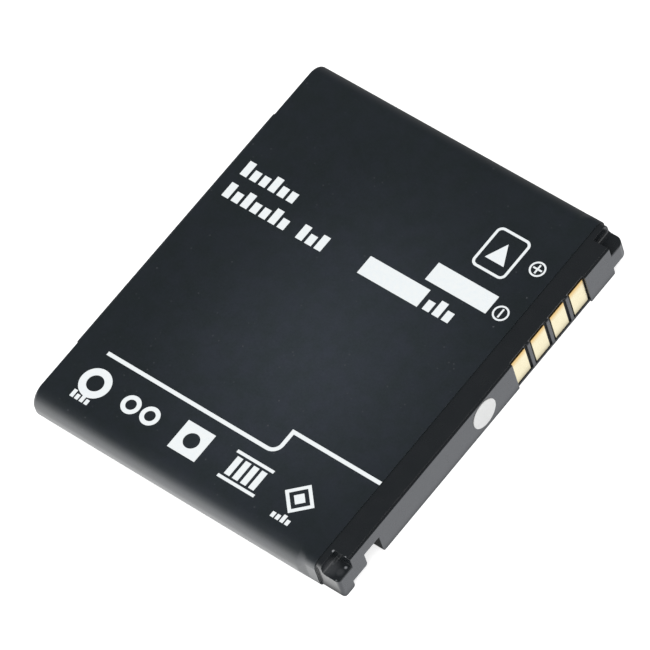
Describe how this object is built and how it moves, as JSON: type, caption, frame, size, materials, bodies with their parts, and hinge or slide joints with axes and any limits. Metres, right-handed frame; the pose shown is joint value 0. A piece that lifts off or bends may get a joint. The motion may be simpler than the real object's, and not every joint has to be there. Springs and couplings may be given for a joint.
{
  "type": "mobile phone battery",
  "caption": "Flat clip-in phone battery: lithium cell in a film-wrapped can, with a moulded contact cap, gold contacts, latch notch and moisture spot at one edge.",
  "frame": {"origin": "under the middle of the pack, on the plain broad face that it lies on", "axes": "+X from the closed end of the can to the contact cap, +Y along the contact edge, +Z out of the printed face"},
  "size_m": [0.04, 0.0478, 0.0045],
  "materials": {
    "label_film": "smooth black printed film",
    "print_ink": "white screen-printed ink",
    "cap_plastic": "moulded black plastic, satin",
    "contact_gold": "gold-plated, bright",
    "can_metal": "drawn, satin",
    "roll_foil": "wound coated foil and separator",
    "insulator": "milky moulded plastic",
    "gasket": "white sealing plastic",
    "nickel": "nickel strip, satin",
    "tape": "amber insulating tape",
    "fuse_body": "pressed fuse body",
    "board": "green laminate with mask",
    "chip_plastic": "moulded black resin",
    "chip_ceramic": "fired ceramic, tan",
    "spot_paper": "white paper spot"
  },
  "bodies": {
    "root": {"label_wrap": "label_film", "label_print": "print_ink", "contact_cap": "cap_plastic", "contact_pad_1": "contact_gold", "contact_pad_2": "contact_gold", "contact_pad_3": "contact_gold", "contact_pad_4": "contact_gold", "moisture_disc": "spot_paper", "cell_can": "can_metal", "can_lid": "can_metal", "fill_plug": "can_metal", "jelly_roll": "roll_foil", "roll_insulator": "insulator", "inner_insulator": "insulator", "rivet_gasket": "gasket", "negative_rivet": "nickel", "rivet_plate": "nickel", "negative_inner_tab": "nickel", "positive_inner_tab": "can_metal", "lid_tape": "tape", "thermal_fuse": "fuse_body", "negative_strap": "nickel", "fuse_strap": "nickel", "positive_block": "nickel", "positive_strap": "nickel", "circuit_board": "board", "protection_chip": "chip_plastic", "mosfet_chip": "chip_plastic", "chip_resistor_1": "chip_ceramic", "chip_resistor_2": "chip_ceramic", "chip_resistor_3": "chip_ceramic", "chip_capacitor_1": "chip_ceramic", "chip_capacitor_2": "chip_ceramic"}
  },
  "joints": []
}
